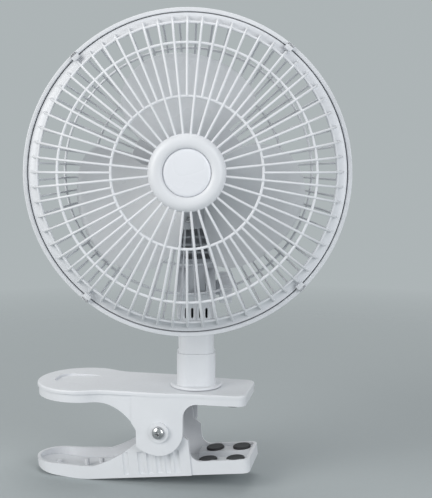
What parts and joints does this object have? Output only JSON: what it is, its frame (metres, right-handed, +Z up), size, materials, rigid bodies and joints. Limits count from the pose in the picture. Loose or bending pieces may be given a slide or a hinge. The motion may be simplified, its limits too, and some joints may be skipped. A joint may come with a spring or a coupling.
{
  "type": "clip fan",
  "caption": "Small caged fan on a tilting, swivelling neck, held to an edge by a sprung clip with rubber pads.",
  "frame": {"origin": "middle of the upper jaw's four pads, on the plane where they grip", "axes": "+X along the clip towards the jaws' tips, -Y to the side the fan roughly faces, +Z up"},
  "size_m": [0.2155, 0.1442, 0.3025],
  "materials": {
    "white_plastic": "satin",
    "blade_plastic": "satin",
    "badge_plastic": "gloss",
    "switch_plastic": "matte",
    "inner_plastic": "matte",
    "pad_rubber": "matte",
    "gland_rubber": "matte",
    "screw_steel": "polished",
    "spring_steel": "satin",
    "motor_steel": "satin",
    "bracket_metal": "satin",
    "coil_copper": "satin"
  },
  "bodies": {
    "clip": {"clip_top_cover": "white_plastic", "upper_jaw_frame": "white_plastic", "upper_pads": "pad_rubber", "cover_screws": "screw_steel", "pivot_screw": "screw_steel", "pivot_nut": "screw_steel", "pivot_sleeve": "inner_plastic", "torsion_spring": "spring_steel"},
    "lower_jaw": {"lower_jaw": "white_plastic", "lower_pads": "pad_rubber"},
    "neck": {"swivel_socket": "white_plastic", "swivel_retainer": "inner_plastic", "swivel_screw": "screw_steel", "neck_left_shell": "white_plastic", "neck_right_shell": "white_plastic", "neck_screws": "screw_steel", "cord_gland": "gland_rubber", "switch_body": "inner_plastic", "tilt_nut": "screw_steel"},
    "switch": {"switch_slider": "switch_plastic"},
    "knob": {"tilt_knob": "white_plastic", "tilt_bolt": "screw_steel"},
    "head": {"motor_housing_front": "white_plastic", "motor_housing_rear": "white_plastic", "housing_screws": "screw_steel", "rear_guard": "white_plastic", "guard_screws": "screw_steel", "front_guard": "white_plastic", "hub_badge": "badge_plastic", "stator_core": "motor_steel", "stator_coils": "coil_copper", "front_bracket": "bracket_metal", "rear_bracket": "bracket_metal", "front_bearing": "screw_steel", "rear_bearing": "screw_steel", "motor_bolts": "screw_steel"},
    "rotor": {"motor_shaft": "screw_steel", "rotor_core": "motor_steel", "fan_blade": "blade_plastic", "spinner_nut": "blade_plastic", "thrust_washers": "inner_plastic"}
  },
  "joints": [
    {"name": "clip_jaw", "type": "hinge", "parent": "clip", "child": "lower_jaw", "pos_m": [-0.0372, 0, -0.0168], "axis": [0, 1, 0], "range_deg": [0, 26], "stiffness_Nm_per_rad": 1.2, "springref_deg": -34.38, "deforming": ["torsion_spring"]},
    {"name": "neck_swivel", "type": "hinge", "parent": "clip", "child": "neck", "pos_m": [-0.0181, 0, 0.0083], "axis": [0, 0, 1], "range_deg": [-177.5, 152.5]},
    {"name": "head_tilt", "type": "hinge", "parent": "neck", "child": "head", "pos_m": [-0.0181, 0, 0.0735], "axis": [-0.9763, -0.2164, 0], "range_deg": [-25, 60]},
    {"name": "knob_turn", "type": "hinge", "parent": "neck", "child": "knob", "pos_m": [-0.0181, 0, 0.0735], "axis": [0.9763, 0.2164, 0], "range_deg": [0, 360]},
    {"name": "switch_slide", "type": "slide", "parent": "neck", "child": "switch", "axis": [0, 0, 1], "range_m": [0, 0.006]},
    {"name": "blade_spin", "type": "hinge", "parent": "head", "child": "rotor", "pos_m": [-0.01, -0.05966, 0.1512], "axis": [0.2164, -0.9763, 0], "continuous": true}
  ]
}
